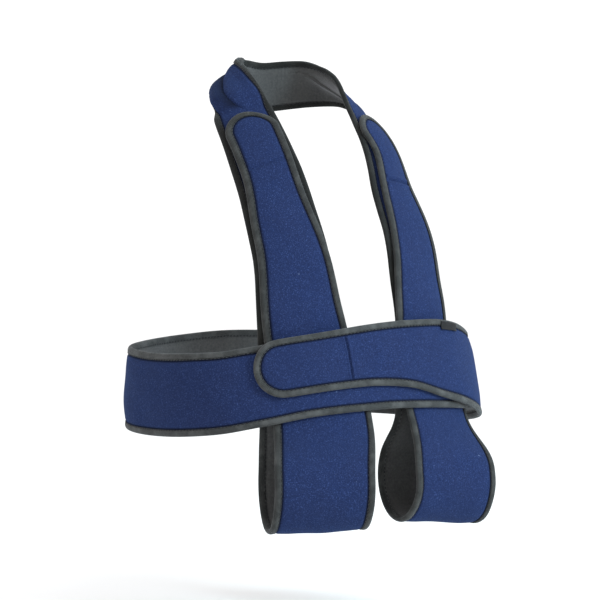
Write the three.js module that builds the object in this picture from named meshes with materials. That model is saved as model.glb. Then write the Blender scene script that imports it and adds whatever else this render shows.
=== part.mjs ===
// Arm immobilization vest: a padded neck strap, a loop for the elbow end and a loop for the wrist end
// of the forearm, and a chest belt that holds both loops against the body. Every strap is a foam
// laminate with a tape sewn over its edge, and hook pads close the three tongues.
// Lengths are millimetres, angles are degrees, +Z is up. The wearer faces -Y and has the left hand on
// +X. The origin is where the neck strap bears on the nape.
import * as THREE from "three";

// The laminate, the tape over its edge, and the air between layers
const foam = 4.2;
const pressedFoam = 2.2;
const tape = 0.8;
const tapeLap = 7;
const crownRun = 4;
const seat = 0.4;
const hookPad = 0.8;
const layerGap = 0.7;
const layerPitch = foam + hookPad + seat + layerGap;
const tapeHalf = pressedFoam / 2 + seat + tape;
const rim = tape + seat;
const pressedTo = tapeLap + 1.5;

// Widths over the tape
const neckWidth = 56;
const neckEndWidth = 86;
const loopWidth = 101;
const loopTongueWidth = 54;
const beltWidth = 88;
const beltTongueWidth = 58;
const plainCorner = 8;

// Lengths of the hook pads, and their margin inside the tape
const loopHookLength = 62;
const beltHookLength = 88;
const hookMargin = 4;

// The worn form. Its sections lie around the neck's axis, which stands at neckAxis along Y.
const neckSide = 51;
const neckFront = 51;
const neckBack = 57;
const chestSide = 168;
const chestFront = 150;
const chestBack = 108;
const beltDrop = 300;
const neckAxis = -62;

// Two-lobed fold of the neck strap at each side of the neck: where its crease lies from the nape,
// how far it reaches along the strap, and how far the lobes rise and the crease sinks
const foldFromNape = 84;
const foldReach = 30;
const foldLobe = 7;
const foldCrease = 3;

// The forearm's form under each loop: half sizes, where its middle lies from the nape and below the
// belt's level, the turn of its length from X about Z, and the rise of its length
const elbowHalfDepth = 36;
const elbowHalfHeight = 45;
const elbowOut = -74.5;
const elbowForward = 220;
const elbowBelowBelt = 99;
const elbowTurn = -20;
const elbowRise = 1;
const wristHalfDepth = 30;
const wristHalfHeight = 41;
const wristOut = 68;
const wristForward = 226;
const wristBelowBelt = 102;
const wristTurn = 2;
const wristRise = -5;

// Plain label over the lap of the belt's tape: its middle along the belt, its length, how far in from
// the belt's edge it starts and ends, its cloth, and its air over the tape
const labelAlong = 231;
const labelLength = 30;
const labelStart = 2.6;
const labelReach = 12;
const labelCloth = 0.6;
const labelSeat = 0.3;

// Facets: the longest step along a strap, the most that it turns in one step, the steps around a
// corner, and how near to a corner a step may come
const longestStep = 29;
const steepestTurn = 18;
const tipSteps = 4;
const cornerClear = 4;

// How closely a strap is laid over the form: the longest stride of a walk, and the lines across it
const stride = 8;
const neckLines = 60;
const beltLines = 110;
const frontLegLines = 30;
const backLegLines = 8;
const frontBridgeLines = 8;
const backBridgeLines = 5;

// Sections of the form: the level behind and in front of the axis as a share of beltDrop, the shares
// of each depth from the neck's, 0, to the chest's, 1, how much the section drops forward, and how
// square it is
const formRows = [
  { level: -1.6, side: 1, front: 1.5, back: 0.88, tilt: 0, square: 2.45 },
  { level: -1.3, side: 1, front: 1.32, back: 0.9, tilt: 0, square: 2.45 },
  { level: -1.17, side: 1, front: 1.15, back: 0.92, tilt: 0, square: 2.45 },
  { level: -1.07, side: 1, front: 1.05, back: 0.94, tilt: 0, square: 2.45 },
  { level: -0.95, side: 0.96, front: 0.97, back: 0.97, tilt: 0.02, square: 2.45 },
  { level: -0.83, side: 0.89, front: 0.9, back: 1, tilt: 0.08, square: 2.45 },
  { level: -0.67, side: 0.87, front: 0.83, back: 1, tilt: 0.18, square: 2.4 },
  { level: -0.5, side: 0.83, front: 0.74, back: 0.88, tilt: 0.28, square: 2.3 },
  { level: -0.36, side: 0.71, front: 0.62, back: 0.67, tilt: 0.38, square: 2.2 },
  { level: -0.25, side: 0.58, front: 0.46, back: 0.42, tilt: 0.46, square: 2.1 },
  { level: -0.16, side: 0.46, front: 0.33, back: 0.2, tilt: 0.52, square: 2 },
  { level: -0.1, side: 0.3, front: 0.21, back: 0.07, tilt: 0.56, square: 2 },
  { level: -0.04, side: 0.1, front: 0.06, back: 0.02, tilt: 0.6, square: 2 },
  { level: 0, side: 0.02, front: 0, back: 0, tilt: 0.6, square: 2 },
  { level: 0.1, side: 0, front: 0, back: 0, tilt: 0.6, square: 2 },
  { level: 0.5, side: 0, front: 0, back: 0, tilt: 0.6, square: 2 },
];

// Half of the neck strap's middle line, from its lower end to the nape: the angle around the neck's
// axis from straight ahead, and the section's level as a share of beltDrop
const neckRows = [
  { around: 30, level: -1.08 },
  { around: 30, level: -0.97 },
  { around: 31, level: -0.72 },
  { around: 33.7, level: -0.47 },
  { around: 42.5, level: -0.26 },
  { around: 57, level: -0.13 },
  { around: 79, level: -0.068 },
  { around: 104, level: -0.05 },
  { around: 129, level: -0.07 },
  { around: 154, level: -0.1 },
  { around: 180, level: -0.115 },
];

// Middle line of each loop's front leg, from the tongue's tip down to the belt
const elbowRows = [
  { around: 71, level: -0.074 },
  { around: 53.7, level: -0.145 },
  { around: 43, level: -0.26 },
  { around: 33.5, level: -0.47 },
  { around: 29.5, level: -0.72 },
  { around: 27, level: -0.88 },
  { around: 24.5, level: -1 },
  { around: 23, level: -1.08 },
  { around: 22.5, level: -1.16 },
];
const wristRows = [
  { around: 62, level: -0.058 },
  { around: 54, level: -0.145 },
  { around: 42.5, level: -0.26 },
  { around: 33.5, level: -0.47 },
  { around: 29.5, level: -0.72 },
  { around: 28, level: -0.88 },
  { around: 27, level: -1 },
  { around: 27, level: -1.08 },
  { around: 27, level: -1.14 },
];

// Middle line of each loop's back leg, which ends behind the neck strap
const backLegRows = [
  { around: 27, level: -1.07 },
  { around: 27, level: -1 },
  { around: 27, level: -0.92 },
];

// Turn around the forearm, from behind (-90) under it (-180) to its front (-270)
const wrapTurns = [-75, -90, -105, -120, -137, -154, -170, -186, -202, -218, -234, -250, -266, -282];

// Outlines: the width as a share from the narrow one, 0, to the wide one, 1, by the distance from the
// strap's first end as a share of beltDrop
const loopWidthRows = [
  { along: 0, width: 0 },
  { along: 0.28, width: 0.02 },
  { along: 0.48, width: 0.26 },
  { along: 0.67, width: 0.46 },
  { along: 0.85, width: 0.64 },
  { along: 1.1, width: 0.95 },
  { along: 1.3, width: 1 },
  { along: 4, width: 1 },
];
const neckWidthRows = [
  { along: 0, width: 1 },
  { along: 0.35, width: 0.85 },
  { along: 0.7, width: 0.6 },
  { along: 1, width: 0.28 },
  { along: 1.2, width: 0.1 },
  { along: 1.45, width: 0 },
  { along: 2, width: 0 },
];
const beltWidthRows = [
  { along: 0, width: 0 },
  { along: 0.35, width: 0.1 },
  { along: 0.58, width: 0.42 },
  { along: 0.74, width: 0.85 },
  { along: 0.9, width: 1 },
  { along: 1.4, width: 1 },
  { along: 2.3, width: 1 },
  { along: 2.9, width: 0.78 },
  { along: 5, width: 0.74 },
];

// The belt's middle line from the tongue to the inner end: the turn from straight ahead, positive to
// the wearer's left, the section's level as a share of beltDrop, and the layer that it lies in
const beltRows = [
  { turn: -45.5, level: -0.98, layer: 3 },
  { turn: -25, level: -0.94, layer: 3 },
  { turn: -5, level: -0.915, layer: 3 },
  { turn: 15, level: -0.918, layer: 3 },
  { turn: 35, level: -0.958, layer: 3 },
  { turn: 57, level: -1.02, layer: 3 },
  { turn: 85, level: -1.05, layer: 3 },
  { turn: 120, level: -1.04, layer: 2.7 },
  { turn: 155, level: -1.025, layer: 2.2 },
  { turn: 190, level: -1.02, layer: 2 },
  { turn: 230, level: -1.035, layer: 2 },
  { turn: 270, level: -1.06, layer: 2 },
  { turn: 300, level: -1.05, layer: 2 },
  { turn: 315, level: -1.025, layer: 2 },
  { turn: 330, level: -0.995, layer: 2 },
  { turn: 348, level: -0.98, layer: 2 },
  { turn: 366, level: -0.975, layer: 2 },
  { turn: 390, level: -0.985, layer: 2 },
  { turn: 420, level: -1.01, layer: 2 },
  { turn: 450, level: -1.04, layer: 2 },
];

const rad = THREE.MathUtils.degToRad;
const mix = THREE.MathUtils.lerp;
const clamp = THREE.MathUtils.clamp;

// A smooth curve through the rows' values of one column, over the column that orders them
function through(rows, by, key, at) {
  const x = (i) => rows[clamp(i, 0, rows.length - 1)][by];
  const y = (i) => rows[clamp(i, 0, rows.length - 1)][key];
  const p = clamp(at, x(0), x(rows.length - 1));
  let i = 0;
  while (i < rows.length - 2 && p > x(i + 1)) i += 1;
  const run = x(i + 1) - x(i);
  const t = (p - x(i)) / run;
  const slope = (j) => (y(j + 1) - y(j - 1)) / (x(j + 1) - x(j - 1));
  const [a, b] = [slope(i) * run, slope(i + 1) * run];
  const rise = y(i + 1) - y(i);
  return y(i) + a * t + (3 * rise - 2 * a - b) * t * t + (a + b - 2 * rise) * t * t * t;
}

// A point of the worn form
function formPoint({ around, level }) {
  const column = (key) => through(formRows, "level", key, level / beltDrop);
  const side = mix(neckSide, chestSide, column("side"));
  const front = mix(neckFront, chestFront, column("front"));
  const back = mix(neckBack, chestBack, column("back"));
  const [tilt, square] = [column("tilt"), column("square")];
  const [s, c] = [Math.sin(rad(around)), Math.cos(rad(around))];
  const depth = c > 0 ? front : back;
  const reach = (Math.abs(c / depth) ** square + Math.abs(s / side) ** square) ** (-1 / square);
  return new THREE.Vector3(reach * s, neckAxis - reach * c, level - tilt * reach * c);
}

// The form's point, its tangents by degree and by millimetre of level, and its outward normal
function formFrame(place) {
  const shift = 0.5;
  const point = formPoint(place);
  const shifted = (turn, rise) => formPoint({ around: place.around + turn, level: place.level + rise });
  const turning = shifted(shift, 0).sub(shifted(-shift, 0)).divideScalar(2 * shift);
  const rising = shifted(0, shift).sub(shifted(0, -shift)).divideScalar(2 * shift);
  const normal = turning.clone().cross(rising).normalize();
  return { point, turning, rising, normal };
}

// The place reached by a straight walk over the form, from a place, along a direction
function walk(place, direction, distance) {
  const steps = Math.max(1, Math.ceil(Math.abs(distance) / stride));
  const step = distance / steps;
  const heading = direction.clone();
  let here = { ...place };
  for (let i = 0; i < steps; i += 1) {
    const { turning, rising, normal } = formFrame(here);
    heading.addScaledVector(normal, -heading.dot(normal)).normalize();
    const [tt, rr, tr] = [turning.lengthSq(), rising.lengthSq(), turning.dot(rising)];
    const [ht, hr] = [heading.dot(turning), heading.dot(rising)];
    const area = tt * rr - tr * tr;
    const turn = ((ht * rr - hr * tr) / area) * step;
    const rise = ((hr * tt - ht * tr) / area) * step;
    here = { around: here.around + turn, level: here.level + rise };
  }
  return here;
}

// Distances across a strap at which its sheet is worked out
const acrossShares = [-1, -0.75, -0.5, -0.25, 0, 0.25, 0.5, 0.75, 1];

// One line of points across a strap that lies on the form, lifted off it
function formLine(place, heading, halfWidth, lift) {
  const { normal } = formFrame(place);
  const across = normal.clone().cross(heading).normalize();
  return acrossShares.map((share) => {
    const there = formFrame(walk(place, across, share * halfWidth));
    return there.point.clone().addScaledVector(there.normal, lift);
  });
}

// Lines across a strap along its whole middle line on the form
function formLines(placeAt, liftAt, count, halfWidth) {
  const lines = [];
  const nudge = 1e-3;
  for (let i = 0; i <= count; i += 1) {
    const t = i / count;
    const [before, after] = [placeAt(t - nudge), placeAt(t + nudge)];
    const heading = formPoint(after).sub(formPoint(before)).normalize();
    lines.push(formLine(placeAt(t), heading, halfWidth, liftAt(t)));
  }
  return lines;
}

// One column of a table as a smooth curve from its first row, 0, to its last, 1
function columnOf(rows, key) {
  const numbered = rows.map((row, i) => ({ ...row, i }));
  return (t) => through(numbered, "i", key, t * (rows.length - 1));
}

// A middle line through rows that hold a place each
function placesThrough(rows, sign) {
  const [around, level] = [columnOf(rows, "around"), columnOf(rows, "level")];
  return (t) => ({ around: sign * around(t), level: beltDrop * level(t) });
}

// Lines across a strap that bridges from one line to another, leaving and arriving along headings
function bridge(from, leaving, to, arriving, count) {
  const lines = [];
  for (let i = 1; i < count; i += 1) {
    const t = i / count;
    const [a, b] = [2 * t ** 3 - 3 * t ** 2 + 1, t ** 3 - 2 * t ** 2 + t];
    const [c, d] = [3 * t ** 2 - 2 * t ** 3, t ** 3 - t ** 2];
    lines.push(
      from.map((start, k) => {
        const span = start.distanceTo(to[k]);
        return new THREE.Vector3()
          .addScaledVector(start, a)
          .addScaledVector(leaving[k], b * span)
          .addScaledVector(to[k], c)
          .addScaledVector(arriving[k], d * span);
      }),
    );
  }
  return lines;
}

const headings = (from, to) => from.map((p, k) => to[k].clone().sub(p).normalize());

// A smooth curve through four even points, from the second to the third
function cubic(p0, p1, p2, p3, t) {
  const bend = (a, b, c, d) => {
    const [slope, dip, lean] = [c - a, 2 * a - 5 * b + 4 * c - d, 3 * (b - c) + d - a];
    return b + 0.5 * t * (slope + t * (dip + t * lean));
  };
  return new THREE.Vector3(
    bend(p0.x, p1.x, p2.x, p3.x),
    bend(p0.y, p1.y, p2.y, p3.y),
    bend(p0.z, p1.z, p2.z, p3.z),
  );
}

const flat = () => 0;

// A strap's sheet: lines of points across it, with the distance of each line along the middle. It
// gives the point and the outward normal at any distance along and across. The relief is how far the
// sheet stands off its lines there.
function sheetOf(lines, halfWidth, relief = flat) {
  const middle = (acrossShares.length - 1) / 2;
  const marks = [0];
  lines.slice(1).forEach((line, i) => {
    marks.push(marks[i] + line[middle].distanceTo(lines[i][middle]));
  });
  const length = marks[marks.length - 1];
  const beyond = (end, next) => end.clone().multiplyScalar(2).sub(next);
  const inLine = (line, u) => {
    const k = clamp(Math.floor(u), 0, line.length - 2);
    const before = k > 0 ? line[k - 1] : beyond(line[0], line[1]);
    const after = k < line.length - 2 ? line[k + 2] : beyond(line[k + 1], line[k]);
    return cubic(before, line[k], line[k + 1], after, u - k);
  };
  const pointAt = (along, across) => {
    const s = clamp(along, 0, length);
    let i = 0;
    while (i < marks.length - 2 && s > marks[i + 1]) i += 1;
    const t = (s - marks[i]) / (marks[i + 1] - marks[i]);
    const u = (across / halfWidth + 1) * middle;
    const [here, next] = [inLine(lines[i], u), inLine(lines[i + 1], u)];
    const before = i > 0 ? inLine(lines[i - 1], u) : beyond(here, next);
    const after = i < lines.length - 2 ? inLine(lines[i + 2], u) : beyond(next, here);
    return cubic(before, here, next, after, t);
  };
  const at = (along, across) => {
    const step = 0.5;
    const s = clamp(along, step, length - step);
    const tangent = pointAt(s + step, across).sub(pointAt(s - step, across));
    const side = pointAt(s, across + step).sub(pointAt(s, across - step));
    const normal = side.cross(tangent).negate().normalize();
    const point = pointAt(along, across).addScaledVector(normal, relief(along, across, length));
    return { point, normal };
  };
  return { length, at };
}

// A strap's cut: its half width at each distance along, with a corner radius at each end
function cutOf(length, widthAt, startCorner, endCorner) {
  const corner = (distance, radius, half) => {
    const r = Math.min(radius, half);
    if (distance >= r) return half;
    return half - r + Math.sqrt(Math.max(0, r * r - (r - distance) ** 2));
  };
  const halfAt = (along) => {
    const half = widthAt(along) / 2;
    const start = corner(along, startCorner, half);
    return Math.min(start, corner(length - along, endCorner, half));
  };
  // How far a point lies inside the cut's outline
  const insideBy = (along, across) => {
    const v = Math.abs(across);
    const half = widthAt(along) / 2;
    let inside = half - v;
    for (const [distance, radius] of [[along, startCorner], [length - along, endCorner]]) {
      const r = Math.min(radius, half);
      inside = Math.min(inside, distance);
      const inCorner = distance < r && v > half - r;
      if (inCorner) inside = Math.min(inside, r - Math.hypot(r - distance, v - half + r));
    }
    return inside;
  };
  return { length, widthAt, halfAt, insideBy, startCorner, endCorner };
}

// Distances along a strap at which it is faceted, closer where it turns
function stationsOf(sheet, cut) {
  const fine = 3;
  const count = Math.ceil(cut.length / fine);
  const weights = [0];
  let previous = null;
  for (let i = 0; i <= count; i += 1) {
    const along = (cut.length * i) / count;
    const { normal } = sheet.at(along, 0);
    if (previous) {
      const turn = THREE.MathUtils.radToDeg(normal.angleTo(previous));
      const step = cut.length / count;
      weights.push(weights[i - 1] + Math.max(step / longestStep, turn / steepestTurn));
    }
    previous = normal;
  }
  const total = Math.ceil(weights[count]);
  const stations = [];
  let j = 0;
  for (let i = 0; i <= total; i += 1) {
    const goal = (weights[count] * i) / total;
    while (j < count - 1 && weights[j + 1] < goal) j += 1;
    const share = (goal - weights[j]) / (weights[j + 1] - weights[j]);
    stations.push((cut.length * (j + share)) / count);
  }
  const [startRadius, endRadius] = [cornerAt(cut, 0), cornerAt(cut, 1)];
  const [first, last] = [startRadius + cornerClear, cut.length - endRadius - cornerClear];
  return stations.filter((along) => along > first && along < last);
}

function cornerAt(cut, end) {
  const half = cut.widthAt(end ? cut.length : 0) / 2;
  return Math.min(end ? cut.endCorner : cut.startCorner, half);
}

// Angles around a corner, from the side, 0, to the end, 90
const cornerTurns = Array.from({ length: tipSteps + 1 }, (_, i) => (90 * i) / tipSteps);

// A closed mesh from rings of points, either looped or with flat ends
function meshOfRings(name, rings, looped, material) {
  const ringSize = rings[0].length;
  const positions = rings.flat().flatMap((p) => [p.x, p.y, p.z]);
  const triangles = [];
  const spans = looped ? rings.length : rings.length - 1;
  for (let i = 0; i < spans; i += 1) {
    const j = (i + 1) % rings.length;
    for (let k = 0; k < ringSize; k += 1) {
      const m = (k + 1) % ringSize;
      const [a, b, c, d] = [i * ringSize + k, i * ringSize + m, j * ringSize + k, j * ringSize + m];
      triangles.push(a, b, d, a, d, c);
    }
  }
  if (!looped) {
    const last = (rings.length - 1) * ringSize;
    capOf(ringSize).forEach(([a, b, c]) => {
      triangles.push(a, c, b);
      triangles.push(last + a, last + b, last + c);
    });
  }
  const geometry = new THREE.BufferGeometry();
  geometry.setAttribute("position", new THREE.Float32BufferAttribute(positions, 3));
  geometry.setIndex(triangles);
  if (volumeOf(geometry) < 0) {
    for (let i = 0; i < triangles.length; i += 3) {
      [triangles[i + 1], triangles[i + 2]] = [triangles[i + 2], triangles[i + 1]];
    }
    geometry.setIndex(triangles);
  }
  geometry.computeVertexNormals();
  const mesh = new THREE.Mesh(geometry, material);
  mesh.name = name;
  return mesh;
}

// Triangles that close a ring which runs out along one face of a strip and back along the other
function capOf(ringSize) {
  const triangles = [];
  for (let k = 0; k < ringSize / 2 - 1; k += 1) {
    const [a, b] = [k, k + 1];
    const [c, d] = [ringSize - 1 - k, ringSize - 2 - k];
    triangles.push([a, b, d], [a, d, c]);
  }
  return triangles;
}

// Six times the signed volume inside a mesh
function volumeOf(geometry) {
  const position = geometry.getAttribute("position");
  const index = geometry.getIndex();
  const corner = (i) => new THREE.Vector3().fromBufferAttribute(position, index.getX(i));
  let sum = 0;
  for (let i = 0; i < index.count; i += 3) {
    sum += corner(i).dot(corner(i + 1).cross(corner(i + 2)));
  }
  return sum;
}

// A strap's rings from end to end, set in from its outline: distance along and half width
function ringsOf(cut, stations, inset) {
  const corner = (end) => {
    const half = cut.widthAt(end ? cut.length : 0) / 2;
    const radius = Math.max(cornerAt(cut, end), inset + 0.5);
    const rings = cornerTurns.map((turn) => ({
      fromEnd: radius - (radius - inset) * Math.sin(rad(turn)),
      half: half - radius + (radius - inset) * Math.cos(rad(turn)),
    }));
    return rings.filter((ring) => ring.half > 1).reverse();
  };
  const start = corner(0).map(({ fromEnd, half }) => ({ along: fromEnd, half }));
  const end = corner(1).map(({ fromEnd, half }) => ({ along: cut.length - fromEnd, half }));
  const between = stations.map((along) => ({ along, half: cut.halfAt(along) - inset }));
  return [...start, ...between, ...end.reverse()];
}

// Distances from the middle line at which the foam is bitten flat and at which it is full. Near a
// round tip they keep at least these shares of the half width.
const leastBite = 0.7;
const leastCrown = 0.4;

function biteAndCrown(half) {
  const bite = Math.max(half + rim - pressedTo, leastBite * half);
  return [bite, Math.max(bite - crownRun, leastCrown * half)];
}

// The laminate: full foam inside, pressed flat under the tape
function laminateOf(name, sheet, cut, stations, material) {
  const thicknessAt = (inside) => mix(pressedFoam, foam, clamp((inside - pressedTo) / crownRun, 0, 1));
  const rings = ringsOf(cut, stations, rim).map(({ along, half }) => {
    const full = cut.widthAt(along) / 2 - rim;
    const [bite, crown] = biteAndCrown(full - half < plainCorner ? full : half);
    const columns = [-half, -bite, -crown, 0, crown, bite, half];
    const points = columns.map((across) => {
      const thick = thicknessAt(cut.insideBy(along, across));
      return { ...sheet.at(along, across), thick };
    });
    const outer = points.map((p) => p.point.clone().addScaledVector(p.normal, p.thick / 2));
    const inner = points.map((p) => p.point.clone().addScaledVector(p.normal, -p.thick / 2));
    return [...outer, ...inner.reverse()];
  });
  return meshOfRings(name, rings, false, material);
}

// Places around a cut's outline, set in by an inset, in order: one side, the end, back, the start
function outlineOf(cut, stations, inset) {
  const turnsBack = [...cornerTurns].reverse();
  const around = (end, side) => {
    const half = cut.widthAt(end ? cut.length : 0) / 2;
    const radius = Math.max(cornerAt(cut, end), inset + 0.5);
    const place = (turn, ofSide) => {
      const fromEnd = radius - (radius - inset) * Math.sin(rad(turn));
      const across = ofSide * (half - radius + (radius - inset) * Math.cos(rad(turn)));
      return { along: end ? cut.length - fromEnd : fromEnd, across };
    };
    const out = cornerTurns.map((turn) => place(turn, side));
    const back = turnsBack.map((turn) => place(turn, -side));
    const straight = half - radius;
    if (straight < 1) return [...out, ...back.slice(1)];
    const [bite, crown] = biteAndCrown(half - rim);
    const { along } = out[out.length - 1];
    const columns = [bite, crown, 0, -crown, -bite].map((across) => ({ along, across: side * across }));
    return [...out, ...columns, ...back];
  };
  const sideOf = (list, side) =>
    list.map((along) => ({ along, across: side * (cut.halfAt(along) - inset) }));
  const backward = [...stations].reverse();
  return [...sideOf(stations, 1), ...around(1, 1), ...sideOf(backward, -1), ...around(0, -1)];
}

// The folded edge's height as a share of the lap's, inside and outside the fold
const innerFold = 0.9;
const outerFold = 0.75;

// One ring of a cloth folded over an edge: its inner face, then its outer face
function foldRing(edge, lap, outerHalf, cloth) {
  const outward = edge.point.clone().sub(lap.point).normalize();
  const innerHalf = outerHalf - cloth;
  const off = (base, out, rise) =>
    base.point.clone().addScaledVector(outward, out).addScaledVector(base.normal, rise);
  return [
    off(lap, 0, innerHalf),
    off(edge, -cloth, innerFold * innerHalf),
    off(edge, -cloth, -innerFold * innerHalf),
    off(lap, 0, -innerHalf),
    off(lap, 0, -outerHalf),
    off(edge, 0, -outerFold * outerHalf),
    off(edge, 0, outerFold * outerHalf),
    off(lap, 0, outerHalf),
  ];
}

// The tape folded over a strap's edge, all the way around
function tapeOf(name, sheet, cut, stations, material) {
  const placed = (inset) =>
    outlineOf(cut, stations, inset).map(({ along, across }) => sheet.at(along, across));
  const laps = placed(tapeLap);
  const rings = placed(0).map((edge, i) => foldRing(edge, laps[i], tapeHalf, tape));
  return meshOfRings(name, rings, true, material);
}

// A plain label that lies over the lap of the tape at a strap's upper edge, on the tape's own facets
function labelOf(name, sheet, cut, stations, material) {
  const ends = [labelAlong - labelLength / 2, labelAlong + labelLength / 2];
  const between = stations.filter((along) => along > ends[0] + 1 && along < ends[1] - 1);
  const frameAt = (along, inset) => {
    const next = stations.findIndex((station) => station >= along);
    const [a, b] = [stations[next - 1], stations[next]];
    const share = (along - a) / (b - a);
    const [from, to] = [a, b].map((station) => sheet.at(station, cut.halfAt(station) - inset));
    from.point.lerp(to.point, share);
    from.normal.lerp(to.normal, share).normalize();
    return from;
  };
  const near = tapeHalf + labelSeat;
  const far = near + labelCloth;
  const off = (base, rise) => base.point.clone().addScaledVector(base.normal, rise);
  const rings = [ends[0], ...between, ends[1]].map((along) => {
    const [upper, lower] = [frameAt(along, labelStart), frameAt(along, labelReach)];
    return [off(upper, near), off(lower, near), off(lower, far), off(upper, far)];
  });
  return meshOfRings(name, rings, false, material);
}

// A hook pad under a tongue, which starts at the strap's first end
function hookOf(name, sheet, cut, stations, padLength, material) {
  const inset = tapeLap + hookMargin;
  const face = -(foam / 2 + seat);
  const rings = ringsOf(cut, stations, inset)
    .filter(({ along }) => along < padLength)
    .map(({ along, half }) => {
      const columns = [-half, 0, half].map((across) => sheet.at(along, across));
      const near = columns.map((c) => c.point.clone().addScaledVector(c.normal, face));
      const far = columns.map((c) => c.point.clone().addScaledVector(c.normal, face - hookPad));
      return [...near, ...far.reverse()];
    });
  return meshOfRings(name, rings, false, material);
}

// Middle height of each layer above the form: the back legs -1, the neck strap 0, the tongues 1, the
// belt 2 and 3
const liftOf = (layer) => tapeHalf + layer * layerPitch;

const widthFrom = (rows, narrow, wide) => (along) =>
  mix(narrow, wide, through(rows, "along", "width", along / beltDrop));

const neckWidthFrom = widthFrom(neckWidthRows, neckWidth, neckEndWidth);
const neckWidthAt = (along, length) => Math.max(neckWidthFrom(along), neckWidthFrom(length - along));

// The neck strap, from the wearer's right to the left
function neckSheet(halfWidth) {
  const mirrored = [...neckRows.slice(0, -1)].reverse().map((row) => ({ ...row, around: 360 - row.around }));
  const placeAt = placesThrough([...neckRows, ...mirrored], -1);
  return sheetOf(formLines(placeAt, () => liftOf(0), neckLines, halfWidth), halfWidth, foldRelief);
}

// How far the neck strap's fold stands off: two lobes with a crease between them, inside the tape
function foldRelief(along, across, length) {
  const off = (Math.abs(along - length / 2) - foldFromNape) / foldReach;
  if (Math.abs(off) >= 1) return 0;
  const fade = Math.cos((off * Math.PI) / 2) ** 2;
  const share = clamp(Math.abs(across) / (neckWidthAt(along, length) / 2 - pressedTo), 0, 1);
  return fade * (foldLobe * Math.sin(share * Math.PI) ** 1.5 - foldCrease * (1 - share) ** 4);
}

// One loop: tongue, front leg, the wrap under the forearm, and the back leg
function loopSheet(sign, rows, arm, halfWidth) {
  const front = formLines(placesThrough(rows, sign), () => liftOf(1), frontLegLines, halfWidth);
  const back = formLines(placesThrough(backLegRows, sign), () => liftOf(-1), backLegLines, halfWidth);
  back.forEach((line) => line.reverse());
  const axis = new THREE.Vector3(Math.cos(arm.turn), Math.sin(arm.turn), Math.tan(arm.rise)).normalize();
  const forward = new THREE.Vector3(Math.sin(arm.turn), -Math.cos(arm.turn), 0);
  const wrap = [...wrapTurns].reverse().map((turn) => {
    const [depth, height] = [arm.halfDepth + tapeHalf, arm.halfHeight + tapeHalf];
    const centre = arm.middle
      .clone()
      .addScaledVector(forward, depth * Math.sin(rad(turn)))
      .add(new THREE.Vector3(0, 0, height * Math.cos(rad(turn))));
    return acrossShares.map((share) => centre.clone().addScaledVector(axis, share * halfWidth));
  });
  const leave = headings(front[front.length - 2], front[front.length - 1]);
  const meet = headings(wrap[0], wrap[1]);
  const part = headings(wrap[wrap.length - 2], wrap[wrap.length - 1]);
  const climb = headings(back[0], back[1]);
  const lines = [
    ...front,
    ...bridge(front[front.length - 1], leave, wrap[0], meet, frontBridgeLines),
    ...wrap,
    ...bridge(wrap[wrap.length - 1], part, back[0], climb, backBridgeLines),
    ...back,
  ];
  return sheetOf(lines, halfWidth);
}

// The chest belt, from the tongue to the inner end
function beltSheet(halfWidth) {
  const [turn, level, layer] = ["turn", "level", "layer"].map((key) => columnOf(beltRows, key));
  const placeAt = (t) => ({ around: turn(t), level: beltDrop * level(t) });
  const liftAt = (t) => liftOf(layer(t));
  return sheetOf(formLines(placeAt, liftAt, beltLines, halfWidth), halfWidth);
}

const blueFoam = new THREE.MeshStandardMaterial({ color: 0x32406a, roughness: 0.95, metalness: 0 });
const greyTape = new THREE.MeshStandardMaterial({ color: 0x54595a, roughness: 0.85, metalness: 0 });
const darkTape = new THREE.MeshStandardMaterial({ color: 0x3a3c3a, roughness: 0.85, metalness: 0 });
const hookNylon = new THREE.MeshStandardMaterial({ color: 0x1d1e20, roughness: 0.7, metalness: 0 });
const labelSatin = new THREE.MeshStandardMaterial({ color: 0x1b1c1d, roughness: 0.6, metalness: 0 });

const vest = new THREE.Group();

function addStrap(name, sheet, cut, tapeFinish) {
  const stations = stationsOf(sheet, cut);
  vest.add(laminateOf(name, sheet, cut, stations, blueFoam));
  vest.add(tapeOf(name + "_binding", sheet, cut, stations, tapeFinish));
  return stations;
}

function neckStrap() {
  const sheet = neckSheet(neckEndWidth / 2);
  const widthAt = (along) => neckWidthAt(along, sheet.length);
  addStrap("neck_strap", sheet, cutOf(sheet.length, widthAt, plainCorner, plainCorner), darkTape);
}

function loop(name, sign, rows, arm) {
  const sheet = loopSheet(sign, rows, arm, loopWidth / 2);
  const widthAt = widthFrom(loopWidthRows, loopTongueWidth, loopWidth);
  const cut = cutOf(sheet.length, widthAt, loopTongueWidth / 2, plainCorner);
  const stations = addStrap(name, sheet, cut, greyTape);
  vest.add(hookOf(name + "_hook", sheet, cut, stations, loopHookLength, hookNylon));
}

function chestBelt() {
  const sheet = beltSheet(beltWidth / 2);
  const widthAt = widthFrom(beltWidthRows, beltTongueWidth, beltWidth);
  const cut = cutOf(sheet.length, widthAt, beltTongueWidth / 2, plainCorner);
  const stations = addStrap("chest_belt", sheet, cut, greyTape);
  vest.add(hookOf("chest_belt_hook", sheet, cut, stations, beltHookLength, hookNylon));
  vest.add(labelOf("belt_tab", sheet, cut, stations, labelSatin));
}

neckStrap();
loop("elbow_loop", -1, elbowRows, {
  halfDepth: elbowHalfDepth,
  halfHeight: elbowHalfHeight,
  middle: new THREE.Vector3(elbowOut, -elbowForward, -beltDrop - elbowBelowBelt),
  turn: rad(elbowTurn),
  rise: rad(elbowRise),
});
loop("wrist_loop", 1, wristRows, {
  halfDepth: wristHalfDepth,
  halfHeight: wristHalfHeight,
  middle: new THREE.Vector3(wristOut, -wristForward, -beltDrop - wristBelowBelt),
  turn: rad(wristTurn),
  rise: rad(wristRise),
});
chestBelt();

export default vest;
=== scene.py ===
import math

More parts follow.
